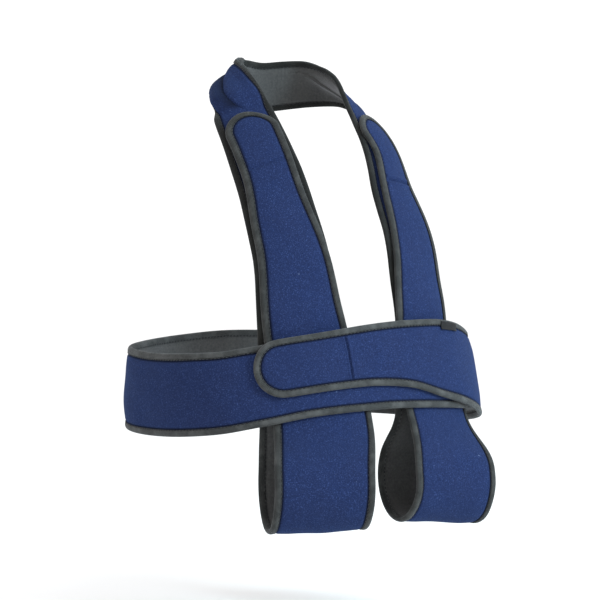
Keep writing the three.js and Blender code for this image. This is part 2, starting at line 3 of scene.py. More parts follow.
import bmesh
import bpy
import numpy as np
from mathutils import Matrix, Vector


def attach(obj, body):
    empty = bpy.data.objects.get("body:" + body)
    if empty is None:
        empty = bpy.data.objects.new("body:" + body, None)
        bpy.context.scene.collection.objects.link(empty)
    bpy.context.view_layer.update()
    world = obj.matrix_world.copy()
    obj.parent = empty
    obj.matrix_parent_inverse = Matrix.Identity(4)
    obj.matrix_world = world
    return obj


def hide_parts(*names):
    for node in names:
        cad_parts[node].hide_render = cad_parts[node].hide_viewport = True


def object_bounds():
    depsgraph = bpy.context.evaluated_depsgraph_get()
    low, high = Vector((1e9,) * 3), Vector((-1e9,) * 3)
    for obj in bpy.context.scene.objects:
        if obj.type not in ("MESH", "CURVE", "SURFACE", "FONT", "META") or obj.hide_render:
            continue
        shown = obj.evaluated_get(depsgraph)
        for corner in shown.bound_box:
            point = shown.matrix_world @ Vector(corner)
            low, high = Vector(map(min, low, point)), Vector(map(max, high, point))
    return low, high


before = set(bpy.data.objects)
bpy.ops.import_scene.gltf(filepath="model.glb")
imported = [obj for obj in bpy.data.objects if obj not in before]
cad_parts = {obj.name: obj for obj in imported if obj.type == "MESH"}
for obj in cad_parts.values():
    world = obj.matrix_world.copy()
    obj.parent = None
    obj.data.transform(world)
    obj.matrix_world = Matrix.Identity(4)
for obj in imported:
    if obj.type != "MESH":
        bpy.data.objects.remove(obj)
cad_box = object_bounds()

# Sizes are millimetres and angles are degrees. The wearer faces -Y, has the left hand on +X, and the
# origin is where the neck strap bears on the nape.
MM = 0.001

# The laminate's thickness, full and pressed under the tape
FOAM = 4.2
PRESSED_FOAM = 2.2

# The tape's thickness, its lap over each face, its width when flat, and a painted shadow: a dark band
# along the tape's lap edge where it meets the pile
TAPE = 0.8
TAPE_LAP = 7
HEM_SHADOW = 0.9
HEM_SHADOW_END = 2.2 * HEM_SHADOW
HEM_SHADOW_DARKNESS = 0.7

# The hook pad's thickness, the seat under tape and pad, and the layers one over the other
HOOK_PAD = 0.8
SEAT = 0.4
LAYER_GAP = 0.7
LAYER_PITCH = FOAM + HOOK_PAD + SEAT + LAYER_GAP
TAPE_HALF = PRESSED_FOAM / 2 + SEAT + TAPE
RIM = TAPE + SEAT

# How the foam swells from a groove beside the tape, and its slight waves
GROOVE = 0.6
CROWN_RUN = 2.8
SWELL = 0.6
SWELL_RUN = 16
WAVE = 0.45

# Where the pile stops being in the tape's shade
SHADE_START = 0.7
SHADE_RUN = 2

# Widths over the tape
NECK_WIDTH = 56
NECK_END_WIDTH = 86
LOOP_WIDTH = 101
LOOP_TONGUE_WIDTH = 54
BELT_WIDTH = 88
BELT_TONGUE_WIDTH = 58
PLAIN_CORNER = 8

# Lengths of the hook pads, and their margin inside the tape
LOOP_HOOK_LENGTH = 62
BELT_HOOK_LENGTH = 88
HOOK_MARGIN = 4

# The worn form. Its sections lie around the neck's axis, which stands at NECK_AXIS along Y.
NECK_SIDE = 51
NECK_FRONT = 51
NECK_BACK = 57
CHEST_SIDE = 168
CHEST_FRONT = 150
CHEST_BACK = 108
BELT_DROP = 300
NECK_AXIS = -62

# Label over the lap of the belt's tape: its middle along the belt, its length, where it starts and ends
# from the belt's edge, and its cloth
LABEL_ALONG = 231
LABEL_LENGTH = 30
LABEL_START = 2.6
LABEL_REACH = 12
LABEL_CLOTH = 0.6

# The label's ripple along its loose edge, how fast the ripple turns, and the lift of its corners
LABEL_RIPPLE = 0.25
LABEL_RIPPLE_TURN = 0.35
LABEL_CORNER_LIFT = 0.5

# Stitches: their place in from the edge, their pitch, length and thread, how far they sink in the tape,
# how much more their ends sink, and how flat the thread lies
STITCH_INSET = 6.5
STITCH_PITCH = 4.2
STITCH_LENGTH = 2.9
THREAD = 1.25
STITCH_SINK = 0.08
STITCH_END_SINK = 0.28
STITCH_FLATNESS = 0.8

# A stitch from end to end: the place along it and the share of its full thickness
STITCH_PROFILE = [(-0.5, 0.35), (-0.28, 1), (0.28, 1), (0.5, 0.35)]

# Fineness of the meshes
STEP = 2.5
COLUMN_STEP = 2.5
FOLD_STEP = 1.5
CREASE_STEP = 0.6
CORNER_STEPS = 24
STITCH_SIDES = 6
HOOK_COLUMNS = 13
LABEL_ROWS = 25
LABEL_COLUMNS = 15
WALK_STEPS = 8
NECK_LINES = 60
BELT_LINES = 110
FRONT_LEG_LINES = 30
BACK_LEG_LINES = 8
FRONT_BRIDGE_LINES = 8
BACK_BRIDGE_LINES = 5

# The least radius of a corner set in from the outline, and the least half width of a row
LEAST_RADIUS = 0.5
LEAST_HALF = 0.3

# Camera
CAMERA_TARGET = (0, -75.5, -225)
CAMERA_AZIMUTH = -33
CAMERA_RISE = 2
CAMERA_DISTANCE = 2600
FRAME_WIDTH = 630
SENSOR = 36

# Studio, in metres and watts: a pale floor below the straps, an even sky, and two soft lights
FLOOR_SIZE = 30
FLOOR_DROP = 0.09
FLOOR_COLOUR = (0.9, 0.9, 0.9, 1)
FLOOR_ROUGHNESS = 0.9
SKY = 1.16
KEY_LIGHT = {"where": (1.0, -2.2, 0.9), "size": 1.1, "power": 78, "colour": (0.68, 0.9, 1)}
FILL_LIGHT = {"where": (-2.2, -1.4, 0.7), "size": 1.8, "power": 5, "colour": (1, 0.96, 0.98)}


def table(columns, rows):
    """A table's columns by name."""
    values = np.array(rows, float)
    return {name: values[:, i] for i, name in enumerate(columns.split())}


# Sections of the form: the level as a share of BELT_DROP, the shares of each depth from the neck's, 0,
# to the chest's, 1, how much the section drops forward, and how square it is
FORM = table(
    "level side front back tilt square",
    [
        (-1.6, 1, 1.5, 0.88, 0, 2.45),
        (-1.3, 1, 1.32, 0.9, 0, 2.45),
        (-1.17, 1, 1.15, 0.92, 0, 2.45),
        (-1.07, 1, 1.05, 0.94, 0, 2.45),
        (-0.95, 0.96, 0.97, 0.97, 0.02, 2.45),
        (-0.83, 0.89, 0.9, 1, 0.08, 2.45),
        (-0.67, 0.87, 0.83, 1, 0.18, 2.4),
        (-0.5, 0.83, 0.74, 0.88, 0.28, 2.3),
        (-0.36, 0.71, 0.62, 0.67, 0.38, 2.2),
        (-0.25, 0.58, 0.46, 0.42, 0.46, 2.1),
        (-0.16, 0.46, 0.33, 0.2, 0.52, 2),
        (-0.1, 0.3, 0.21, 0.07, 0.56, 2),
        (-0.04, 0.1, 0.06, 0.02, 0.6, 2),
        (0, 0.02, 0, 0, 0.6, 2),
        (0.1, 0, 0, 0, 0.6, 2),
        (0.5, 0, 0, 0, 0.6, 2),
    ],
)

# Half of the neck strap's middle line, from its lower end to the nape: the angle around the neck's
# axis from straight ahead, and the section's level
NECK = table(
    "around level",
    [
        (30, -1.08),
        (30, -0.97),
        (31, -0.72),
        (33.7, -0.47),
        (42.5, -0.26),
        (57, -0.13),
        (79, -0.068),
        (104, -0.05),
        (129, -0.07),
        (154, -0.1),
        (180, -0.115),
    ],
)

# Middle line of each loop's front leg, from the tongue's tip down to the belt
ELBOW_LEG = table(
    "around level",
    [
        (71, -0.074),
        (53.7, -0.145),
        (43, -0.26),
        (33.5, -0.47),
        (29.5, -0.72),
        (27, -0.88),
        (24.5, -1),
        (23, -1.08),
        (22.5, -1.16),
    ],
)
WRIST_LEG = table(
    "around level",
    [
        (62, -0.058),
        (54, -0.145),
        (42.5, -0.26),
        (33.5, -0.47),
        (29.5, -0.72),
        (28, -0.88),
        (27, -1),
        (27, -1.08),
        (27, -1.14),
    ],
)

# Middle line of each loop's back leg, which ends behind the neck strap
BACK_LEG = table("around level", [(27, -1.07), (27, -1), (27, -0.92)])

# Turn around the forearm, from its front (-282) under it (-180) to behind it (-75)
WRAP_TURNS = (-282, -266, -250, -234, -218, -202, -186, -170, -154, -137, -120, -105, -90, -75)

# The forearm's form under each loop: half sizes, where its middle lies, how it faces and rises
ELBOW_ARM = {
    "depth": 36,
    "height": 45,
    "out": -74.5,
    "forward": 220,
    "below_belt": 99,
    "facing": -20,
    "rise": 1,
}
WRIST_ARM = {
    "depth": 30,
    "height": 41,
    "out": 68,
    "forward": 226,
    "below_belt": 102,
    "facing": 2,
    "rise": -5,
}

# Outlines: the width as a share from the narrow one, 0, to the wide one, 1, by the distance from the
# strap's first end as a share of BELT_DROP
LOOP_OUTLINE = table(
    "along width",
    [(0, 0), (0.28, 0.02), (0.48, 0.26), (0.67, 0.46), (0.85, 0.64), (1.1, 0.95), (1.3, 1), (4, 1)],
)
NECK_OUTLINE = table(
    "along width",
    [(0, 1), (0.35, 0.85), (0.7, 0.6), (1, 0.28), (1.2, 0.1), (1.45, 0), (2, 0)],
)
BELT_OUTLINE = table(
    "along width",
    [
        (0, 0),
        (0.35, 0.1),
        (0.58, 0.42),
        (0.74, 0.85),
        (0.9, 1),
        (1.4, 1),
        (2.3, 1),
        (2.9, 0.78),
        (5, 0.74),
    ],
)

# The belt's middle line from the tongue to the inner end: the angle around the neck's axis, positive
# to the wearer's left, the section's level, and the layer that it lies in
BELT = table(
    "around level layer",
    [
        (-45.5, -0.98, 3),
        (-25, -0.94, 3),
        (-5, -0.915, 3),
        (15, -0.918, 3),
        (35, -0.958, 3),
        (57, -1.02, 3),
        (85, -1.05, 3),
        (120, -1.04, 2.7),
        (155, -1.025, 2.2),
        (190, -1.02, 2),
        (230, -1.035, 2),
        (270, -1.06, 2),
        (300, -1.05, 2),
        (315, -1.025, 2),
        (330, -0.995, 2),
        (348, -0.98, 2),
        (366, -0.975, 2),
        (390, -0.985, 2),
        (420, -1.01, 2),
        (450, -1.04, 2),
    ],
)

# Creases across a strap, by their distance from its first end at each edge, and their depth and width
ELBOW_CREASES = table("at_left at_right depth width", [(72, 66, 1.3, 1.7)])
WRIST_CREASES = table("at_left at_right depth width", [(90, 84, 2, 1.6)])
BELT_CREASES = table("at_left at_right depth width", [(97, 100, 1.7, 0.9)])
NO_CREASES = table("at_left at_right depth width", [(0, 0, 0, 1)])

# The low swell on each side of a crease: its share of the depth, and its place in widths of the crease
CREASE_SWELL = 0.45
CREASE_SWELL_AT = 2.6

# How far from a crease the rows lie close, in widths of the crease
CREASE_REACH = 4

# The neck strap's fold at the side of the neck, by the place across it from the neck, -1, to the
# shoulder, 1: how far it slides toward the shoulder, how far it stands off, and how shaded its pile is.
# The lobe by the neck hangs over the lobe by the shoulder, with the crease at FOLD_CREASE, and both hang
# over the tape at their side.
FOLD = table(
    "across slide rise shade",
    [
        (-1, 3, -3, 0.5),
        (-0.87, 0, -0.6, 0.3),
        (-0.76, -2, 2.4, 0),
        (-0.66, -2, 4.8, 0),
        (-0.5, -0.5, 6.4, 0),
        (-0.3, 1, 7, 0),
        (-0.05, 2.5, 7.4, 0),
        (0.1, 4, 6.8, 0),
        (0.17, 3.8, 5, 0.15),
        (0.22, 1, 2, 0.9),
        (0.27, -1.5, 0, 1),
        (0.33, -1.5, 2, 1),
        (0.4, 0, 5, 0.95),
        (0.48, 2, 7.2, 0.75),
        (0.58, 4.2, 7.6, 0.4),
        (0.67, 5.2, 5.2, 0.1),
        (0.76, 2.5, 0.8, 0.2),
        (0.87, -1.5, -3, 0.5),
        (1, -4, -6, 0.6),
    ],
)
FOLD_CREASE = 0.27

# How soon the fold's shade is full, as its height grows
FOLD_SHADE_GAIN = 2

# Along the strap: where the fold's crease lies across it, and the share of the fold's full height
FOLD_RUN = table(
    "from_nape crease height",
    [
        (24, -0.5, 0),
        (40, -0.47, 0.5),
        (54, -0.4, 0.9),
        (64, -0.24, 0.95),
        (75, -0.02, 0.85),
        (90, 0.18, 0.8),
        (104, 0.26, 0.95),
        (112, 0.24, 1),
        (118, 0.2, 0.84),
        (124, 0.13, 0.6),
        (129, 0.05, 0.3),
        (134, -0.04, 0.06),
        (137, -0.08, 0),
    ],
)

# The share of the fold's height at the wearer's left
LEFT_FOLD = 0.3

# The tape's section: how far in from the edge, and how high, outside from the lap to the edge and inside
# from the edge to the lap
TAPE_OUTER = [
    (7, 1.4),
    (6.7, 1.85),
    (5.9, 2.15),
    (4.8, 2.5),
    (3.5, 2.65),
    (2.2, 2.45),
    (1.1, 1.95),
    (0.3, 1.1),
]
TAPE_INNER = [(1.1, 0.9), (2.3, 1.55), (3.6, 1.75), (5, 1.6), (6.3, 1.35)]

# The label's lie from its upper edge, 0, to its lower one, 1: its height over the belt's middle surface
LABEL_LIE = table(
    "share height",
    [(0, 2.62), (0.2, 2.95), (0.45, 2.85), (0.6, 2.75), (0.8, 3.1), (1, 3.7)],
)

# Slow waves of the straps: how fast each turns along X, Y and Z, where it starts, and its size
WAVES = [
    (0.071, 0, 0.043, 0.6, 1),
    (0, 0.052, -0.093, 2.1, 0.7),
    (0.121, -0.101, 0.127, 0, 0.5),
]

# Places in from the laminate's rim, close where the foam swells from under the tape. They draw together
# where a row's half width is under EDGE_ROOM times their reach.
EDGE_COLUMNS = np.array([0, 2.5, 4.6, 5.7, 6.4, 6.9, 7.5, 8.2, 9.2, 11])
EDGE_ROOM = 1.5

# Colours
PILE_DEEP = (0.0055, 0.0102, 0.035, 1)
PILE_LIT = (0.013, 0.0243, 0.082, 1)
PILE_TUFT = (0.0079, 0.0175, 0.065, 1)
PILE_NAP = (0.011, 0.0165, 0.05, 1)
PILE_FLECK = (0.032, 0.054, 0.15, 1)
PILE_LINT = (0.12, 0.16, 0.26, 1)
PILE_SHADED = (0.0022, 0.0028, 0.008, 1)
PILE_SHEEN = (0.05, 0.3, 1, 1)
LINING_DARK = (0.03, 0.03, 0.031, 1)
LINING_LIGHT = (0.06, 0.059, 0.057, 1)
LINING_COURSE = (0.04, 0.04, 0.04, 1)
LINING_CLOUD = (0.068, 0.067, 0.064, 1)
LINING_SHEEN = (0.8, 0.8, 0.85, 1)
TAPE_SHEEN = (0.9, 0.95, 1, 1)
THREAD_DARK = (0.006, 0.006, 0.007, 1)
THREAD_LIGHT = (0.018, 0.018, 0.02, 1)
HOOK_TIP = (0.035, 0.035, 0.037, 1)
HOOK_GROUND = (0.008, 0.008, 0.009, 1)
SATIN_DARK = (0.005, 0.005, 0.0055, 1)
SATIN_LIGHT = (0.013, 0.013, 0.0145, 1)
SATIN_RUB = (0.026, 0.026, 0.028, 1)

# Each tape's colours: between its yarns, on them, and where it is worn; the first also paints the shadow
# along the tape's lap edge
GREY_TAPE_COLOURS = (0.016, 0.0165, 0.0165, 1), (0.082, 0.084, 0.083, 1), (0.118, 0.119, 0.118, 1)
# The loops' tape is the grey tape darkened by about a third: painted shade, as the loops take less light
# than the belt
LOOP_TAPE_SHADED_COLOURS = (0.012, 0.0125, 0.0122, 1), (0.056, 0.0565, 0.0555, 1), (0.08, 0.08, 0.078, 1)
DARK_TAPE_COLOURS = (0.006, 0.0062, 0.0058, 1), (0.02, 0.0205, 0.019, 1), (0.03, 0.0305, 0.028, 1)

# Specular level of every cloth
SPECULAR = 0.12


def unit(v):
    return v / np.linalg.norm(v, axis=-1, keepdims=True)


def dot(a, b):
    return (a * b).sum(-1)


def mix(a, b, share):
    return a + (b - a) * share


def smooth(share):
    t = np.clip(share, 0, 1)
    return t * t * (3 - 2 * t)


def through(xs, ys, at):
    """A smooth curve through points, level beyond them."""
    last = len(xs) - 1
    p = np.clip(at, xs[0], xs[last])
    i = np.clip(np.searchsorted(xs, p) - 1, 0, last - 1)
    index = np.arange(last + 1)
    before, after = np.clip(index - 1, 0, last), np.clip(index + 1, 0, last)
    slopes = (ys[after] - ys[before]) / (xs[after] - xs[before])
    run = xs[i + 1] - xs[i]
    t = (p - xs[i]) / run
    a, b = slopes[i] * run, slopes[i + 1] * run
    rise = ys[i + 1] - ys[i]
    return ys[i] + a * t + (3 * rise - 2 * a - b) * t**2 + (a + b - 2 * rise) * t**3


def by_row(column, t):
    """A column as a smooth curve from its first row, 0, to its last, 1."""
    rows = np.arange(len(column), dtype=float)
    return through(rows, column, np.asarray(t) * rows[-1])


def form_point(around, level):
    """A point of the worn form."""
    share = level / BELT_DROP
    part = {key: through(FORM["level"], FORM[key], share) for key in FORM}
    side = mix(NECK_SIDE, CHEST_SIDE, part["side"])
    front = mix(NECK_FRONT, CHEST_FRONT, part["front"])
    back = mix(NECK_BACK, CHEST_BACK, part["back"])
    s, c = np.sin(np.radians(around)), np.cos(np.radians(around))
    depth = np.where(c > 0, front, back)
    square = part["square"]
    reach = (np.abs(c / depth) ** square + np.abs(s / side) ** square) ** (-1 / square)
    return np.stack([reach * s, NECK_AXIS - reach * c, level - part["tilt"] * reach * c], -1)


def form_frame(around, level):
    """The form's point, its tangents by degree and by millimetre of level, and its normal."""
    shift = 0.5
    turning = (form_point(around + shift, level) - form_point(around - shift, level)) / (2 * shift)
    rising = (form_point(around, level + shift) - form_point(around, level - shift)) / (2 * shift)
    return form_point(around, level), turning, rising, unit(np.cross(turning, rising))


def walk(around, level, direction, distance):
    """The places reached by straight walks over the form, from places, along directions."""
    heading = direction.copy()
    step = distance / WALK_STEPS
    for _ in range(WALK_STEPS):
        _, turning, rising, normal = form_frame(around, level)
        heading = unit(heading - dot(heading, normal)[..., None] * normal)
        tt, rr, tr = dot(turning, turning), dot(rising, rising), dot(turning, rising)
        ht, hr = dot(heading, turning), dot(heading, rising)
        area = tt * rr - tr * tr
        around = around + (ht * rr - hr * tr) / area * step
        level = level + (hr * tt - ht * tr) / area * step
    return around, level


# Shares of the half width at which a strap's sheet is worked out
ACROSS = np.linspace(-1, 1, 9)


def form_lines(place_at, lift_at, count, half_width):
    """Lines of points across a strap that lies on the form, along its whole middle line."""
    t = np.linspace(0, 1, count + 1)
    nudge = 1e-3
    heading = unit(form_point(*place_at(t + nudge)) - form_point(*place_at(t - nudge)))
    around, level = place_at(t)
    normal = form_frame(around, level)[3]
    across = unit(np.cross(normal, heading))[:, None].repeat(len(ACROSS), 1)
    spread = [x[:, None].repeat(len(ACROSS), 1) for x in (around, level)]
    there = walk(*spread, across, (ACROSS * half_width)[None])
    point, _, _, normal = form_frame(*there)
    return point + lift_at(t)[:, None, None] * normal


def on_rows(rows, sign):
    """A middle line through the rows of a table of places."""
    return lambda t: (sign * by_row(rows["around"], t), BELT_DROP * by_row(rows["level"], t))


def bridge(start, leaving, end, arriving, count):
    """Lines across a strap that bridges from one line to another."""
    t = (np.arange(1, count) / count)[:, None, None]
    span = np.linalg.norm(end - start, axis=-1)[:, None]
    return (
        (2 * t**3 - 3 * t**2 + 1) * start
        + (t**3 - 2 * t**2 + t) * span * leaving
        + (3 * t**2 - 2 * t**3) * end
        + (t**3 - t**2) * span * arriving
    )


def cubic_weights(t):
    """Weights of four neighbours for a smooth curve through the middle two."""
    return (
        0.5 * (-t + 2 * t**2 - t**3),
        0.5 * (2 - 5 * t**2 + 3 * t**3),
        0.5 * (t + 4 * t**2 - 3 * t**3),
        0.5 * (-(t**2) + t**3),
    )


def waves(p):
    """Slow waves through space, so that layers which lie on each other bend together."""
    x, y, z = p[..., 0], p[..., 1], p[..., 2]
    total = 0
    for by_x, by_y, by_z, start, size in WAVES:
        total = total + size * np.sin(by_x * x + by_y * y + by_z * z + start)
    return total


class Sheet:
    """A strap's middle surface: the point and the outward normal at any distance along and across."""

    def __init__(self, lines, half_width, fold=None):
        middle = lines[:, len(ACROSS) // 2]
        steps = np.linalg.norm(np.diff(middle, axis=0), axis=-1)
        self.marks = np.concatenate([[0], np.cumsum(steps)])
        self.length = self.marks[-1]
        self.half_width = half_width
        self.fold = fold
        rows = np.concatenate([[2 * lines[0] - lines[1]], lines, [2 * lines[-1] - lines[-2]]])
        first, last = 2 * rows[:, :1] - rows[:, 1:2], 2 * rows[:, -1:] - rows[:, -2:-1]
        self.grid = np.concatenate([first, rows, last], 1)

    def plain_point(self, along, across):
        """The point before any fold or wave."""
        s = np.clip(along, 0, self.length)
        i = np.clip(np.searchsorted(self.marks, s) - 1, 0, len(self.marks) - 2)
        t = (s - self.marks[i]) / (self.marks[i + 1] - self.marks[i])
        u = (across / self.half_width + 1) * (len(ACROSS) - 1) / 2
        k = np.clip(np.floor(u).astype(int), 0, len(ACROSS) - 2)
        along_weights, across_weights = cubic_weights(t), cubic_weights(u - k)
        total = 0
        for a, along_weight in enumerate(along_weights):
            for b, across_weight in enumerate(across_weights):
                total = total + (along_weight * across_weight)[..., None] * self.grid[i + a, k + b]
        return total

    def plain_frame(self, along, across):
        """The point, the normal and the direction across, before any fold or wave."""
        step = 0.5
        s = np.clip(along, step, self.length - step)
        tangent = self.plain_point(s + step, across) - self.plain_point(s - step, across)
        side = self.plain_point(s, across + step) - self.plain_point(s, across - step)
        return self.plain_point(along, across), unit(np.cross(tangent, side)), unit(side)

    def folded_point(self, along, across):
        """The point with the fold and the slight waves."""
        point, normal, side = self.plain_frame(along, across)
        slide, rise, _ = self.fold(along, across, self.length)
        rise = rise + WAVE * waves(point)
        return point + rise[..., None] * normal + slide[..., None] * side

    def at(self, along, across):
        """The point and the outward normal, with any fold and the slight waves."""
        along, across = np.broadcast_arrays(np.asarray(along, float), np.asarray(across, float))
        if not self.fold:
            point, normal, _ = self.plain_frame(along, across)
            return point + WAVE * waves(point)[..., None] * normal, normal
        step = 0.4
        s = np.clip(along, step, self.length - step)
        tangent = self.folded_point(s + step, across) - self.folded_point(s - step, across)
        side = self.folded_point(s, across + step) - self.folded_point(s, across - step)
        return self.folded_point(along, across), unit(np.cross(tangent, side))


class Cut:
    """A strap's outline: its half width at each distance along, with a corner radius at each end."""

    def __init__(self, length, width_at, start_corner, end_corner, close=()):
        self.length = length
        self.width_at = width_at
        self.close = close
        half = [float(width_at(np.array(s))) / 2 for s in (0.0, length)]
        self.corners = [min(start_corner, half[0]), min(end_corner, half[1])]
        self.end_halves = half

    def half_at(self, along):
        """Half the width, rounded off at the corners."""
        half = self.width_at(along) / 2
        result = half
        for distance, radius in ((along, self.corners[0]), (self.length - along, self.corners[1])):
            r = np.minimum(radius, half)
            rounded = half - r + np.sqrt(np.maximum(0, r * r - (r - distance) ** 2))
            result = np.where(distance < r, np.minimum(result, rounded), result)
        return result

    def inside_by(self, along, across):
        """How far a point lies inside the outline."""
        v = np.abs(across)
        half = self.width_at(along) / 2
        inside = half - v
        for distance, radius in ((along, self.corners[0]), (self.length - along, self.corners[1])):
            r = np.minimum(radius, half)
            inside = np.minimum(inside, distance)
            in_corner = (distance < r) & (v > half - r)
            rounded = r - np.hypot(r - distance, v - half + r)
            inside = np.where(in_corner, np.minimum(inside, rounded), inside)
        return inside

    def stations(self):
        """Distances along between the corners: even, and closer over the close stretches."""
        start, end = self.corners[0], self.length - self.corners[1]
        marks = np.linspace(start, end, int(round((end - start) / STEP)) + 1)
        for low, high, step in self.close:
            inside = (marks > low - step) & (marks < high + step)
            marks = np.concatenate([marks[~inside], np.arange(low, high + step / 2, step)])
        return np.sort(marks)

    def corner_places(self, end, inset):
        """Places around one corner, from the side to the end: distance from the end, half width."""
        radius = max(self.corners[end], inset + LEAST_RADIUS)
        turns = np.radians(np.linspace(0, 90, CORNER_STEPS + 1))
        from_end = radius - (radius - inset) * np.sin(turns)
        half = self.end_halves[end] - radius + (radius - inset) * np.cos(turns)
        return from_end, half

    def rings(self, inset):
        """Distances along and half widths from end to end, set in from the outline."""
        start_from, start_half = self.corner_places(0, inset)
        end_from, end_half = self.corner_places(1, inset)
        middle = self.stations()[1:-1]
        along = np.concatenate([start_from[::-1], middle, self.length - end_from])
        half = np.concatenate([start_half[::-1], self.half_at(middle) - inset, end_half])
        keep = half > LEAST_HALF
        return along[keep], half[keep]

    def outline(self, inset):
        """Places around the outline, set in from it: one side, the end, back, and the start."""
        middle = self.stations()[1:-1]
        half = self.half_at(middle) - inset
        start_from, start_half = self.corner_places(0, inset)
        end_from, end_half = self.corner_places(1, inset)

        def straight(end):
            reach = self.end_halves[end] - max(self.corners[end], inset + LEAST_RADIUS)
            count = int(round(2 * (self.end_halves[end] - self.corners[end]) / STEP))
            return np.linspace(reach, -reach, count + 1)[1:-1] if count > 1 else np.zeros(0)

        over_end, over_start = straight(1), straight(0)
        along = [
            middle,
            self.length - end_from,
            np.full(len(over_end), self.length - inset),
            (self.length - end_from)[::-1],
            middle[::-1],
            start_from,
            np.full(len(over_start), float(inset)),
            start_from[::-1],
        ]
        across = [half, end_half, over_end, -end_half[::-1], -half[::-1], -start_half, -over_start]
        across.append(start_half[::-1])
        return np.concatenate(along), np.concatenate(across)


def mesh_object(name, vertices, faces, materials, uvs=None, face_slots=None):
    """An object from millimetre points and faces, with map coordinates in millimetres."""
    mesh = bpy.data.meshes.new(name)
    mesh.from_pydata((np.asarray(vertices) * MM).tolist(), [], faces)
    mesh.polygons.foreach_set("use_smooth", np.ones(len(mesh.polygons), bool))
    for material in materials:
        mesh.materials.append(material)
    if face_slots is not None:
        mesh.polygons.foreach_set("material_index", np.asarray(face_slots, np.int32))
    if uvs is not None:
        layer = mesh.uv_layers.new(name="cloth")
        layer.data.foreach_set("uv", (np.asarray(uvs) * MM).astype(np.float32).ravel())
    work = bmesh.new()
    work.from_mesh(mesh)
    bmesh.ops.recalc_face_normals(work, faces=work.faces)
    work.to_mesh(mesh)
    work.free()
    mesh.update()
    obj = bpy.data.objects.new(name, mesh)
    bpy.context.scene.collection.objects.link(obj)
    return obj


def grid_faces(rows, columns, start=0, flipped=False):
    """Quads of a grid of points, in row order."""
    faces = []
    for i in range(rows - 1):
        for k in range(columns - 1):
            a = start + i * columns + k
            b, c, d = a + 1, a + columns + 1, a + columns
            faces.append((a, d, c, b) if flipped else (a, b, c, d))
    return faces


def two_faced(rows, columns):
    """Quads of a sheet with two faces, in the order first, second and border, and their counts."""
    count = rows * columns
    first = grid_faces(rows, columns)
    second = grid_faces(rows, columns, count, flipped=True)
    ring = list(range(columns))
    ring += [i * columns + columns - 1 for i in range(1, rows)]
    ring += [(rows - 1) * columns + k for k in range(columns - 2, -1, -1)]
    ring += [i * columns for i in range(rows - 2, 0, -1)]
    border = [(a, b, b + count, a + count) for a, b in zip(ring, ring[1:] + ring[:1])]
    return first + second + border, (len(first), len(second), len(border))


def place(obj, node):
    """The piece hangs from the root body and stands for its CAD node, which it hides."""
    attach(obj, "root")
    if node:
        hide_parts(node)


# Materials


class Nodes:
    """Short calls for building one node material."""

    def __init__(self, name):
        self.material = bpy.data.materials.new(name)
        self.material.use_nodes = True
        self.tree = self.material.node_tree
        self.shader = self.tree.nodes["Principled BSDF"]

    def link(self, source, target):
        if isinstance(source, bpy.types.NodeSocket):
            self.tree.links.new(source, target)
        else:
            target.default_value = source

    def node(self, kind, output, inputs=None, **settings):
        made = self.tree.nodes.new(kind)
        for key, value in settings.items():
            setattr(made, key, value)
        for key, value in (inputs or {}).items():
            self.link(value, made.inputs[key])
        return made.outputs[output]

    def space(self):
        return self.node("ShaderNodeTexCoord", "Object")

    def cloth(self):
        return self.node("ShaderNodeUVMap", "UV", uv_map="cloth")

    def noise(self, vector, scale, detail=2, rough=0.5):
        inputs = {"Vector": vector, "Scale": scale, "Detail": detail, "Roughness": rough}
        return self.node("ShaderNodeTexNoise", "Fac", inputs)

    def ramp(self, value, low, high, out_low=0.0, out_high=1.0):
        inputs = {"Value": value, "From Min": low, "From Max": high}
        inputs |= {"To Min": out_low, "To Max": out_high}
        return self.node("ShaderNodeMapRange", "Result", inputs)

    def bands(self, vector, direction, scale, distortion, detail=2, detail_scale=1):
        inputs = {"Vector": vector, "Scale": scale, "Distortion": distortion}
        inputs |= {"Detail": detail, "Detail Scale": detail_scale}
        settings = {"wave_type": "BANDS", "bands_direction": direction}
        return self.node("ShaderNodeTexWave", "Fac", inputs, **settings)

    def product(self, a, b):
        return self.node("ShaderNodeMath", "Value", {0: a, 1: b}, operation="MULTIPLY")

    def blend(self, share, a, b):
        made = self.tree.nodes.new("ShaderNodeMix")
        made.data_type = "RGBA"
        self.link(share, made.inputs["Factor"])
        self.link(a, made.inputs["A"])
        self.link(b, made.inputs["B"])
        return made.outputs["Result"]

    def bump(self, height, distance, strength, normal=None):
        inputs = {"Height": height, "Distance": distance, "Strength": strength}
        if normal is not None:
            inputs["Normal"] = normal
        return self.node("ShaderNodeBump", "Normal", inputs)

    def finish(self, colour, roughness, normal, sheen=0.0, sheen_tint=(1, 1, 1, 1), sheen_rough=0.5):
        self.link(colour, self.shader.inputs["Base Color"])
        self.link(roughness, self.shader.inputs["Roughness"])
        self.link(normal, self.shader.inputs["Normal"])
        self.shader.inputs["Sheen Weight"].default_value = sheen
        self.shader.inputs["Sheen Tint"].default_value = sheen_tint
        self.shader.inputs["Sheen Roughness"].default_value = sheen_rough
        self.shader.inputs["Specular IOR Level"].default_value = SPECULAR
        return self.material


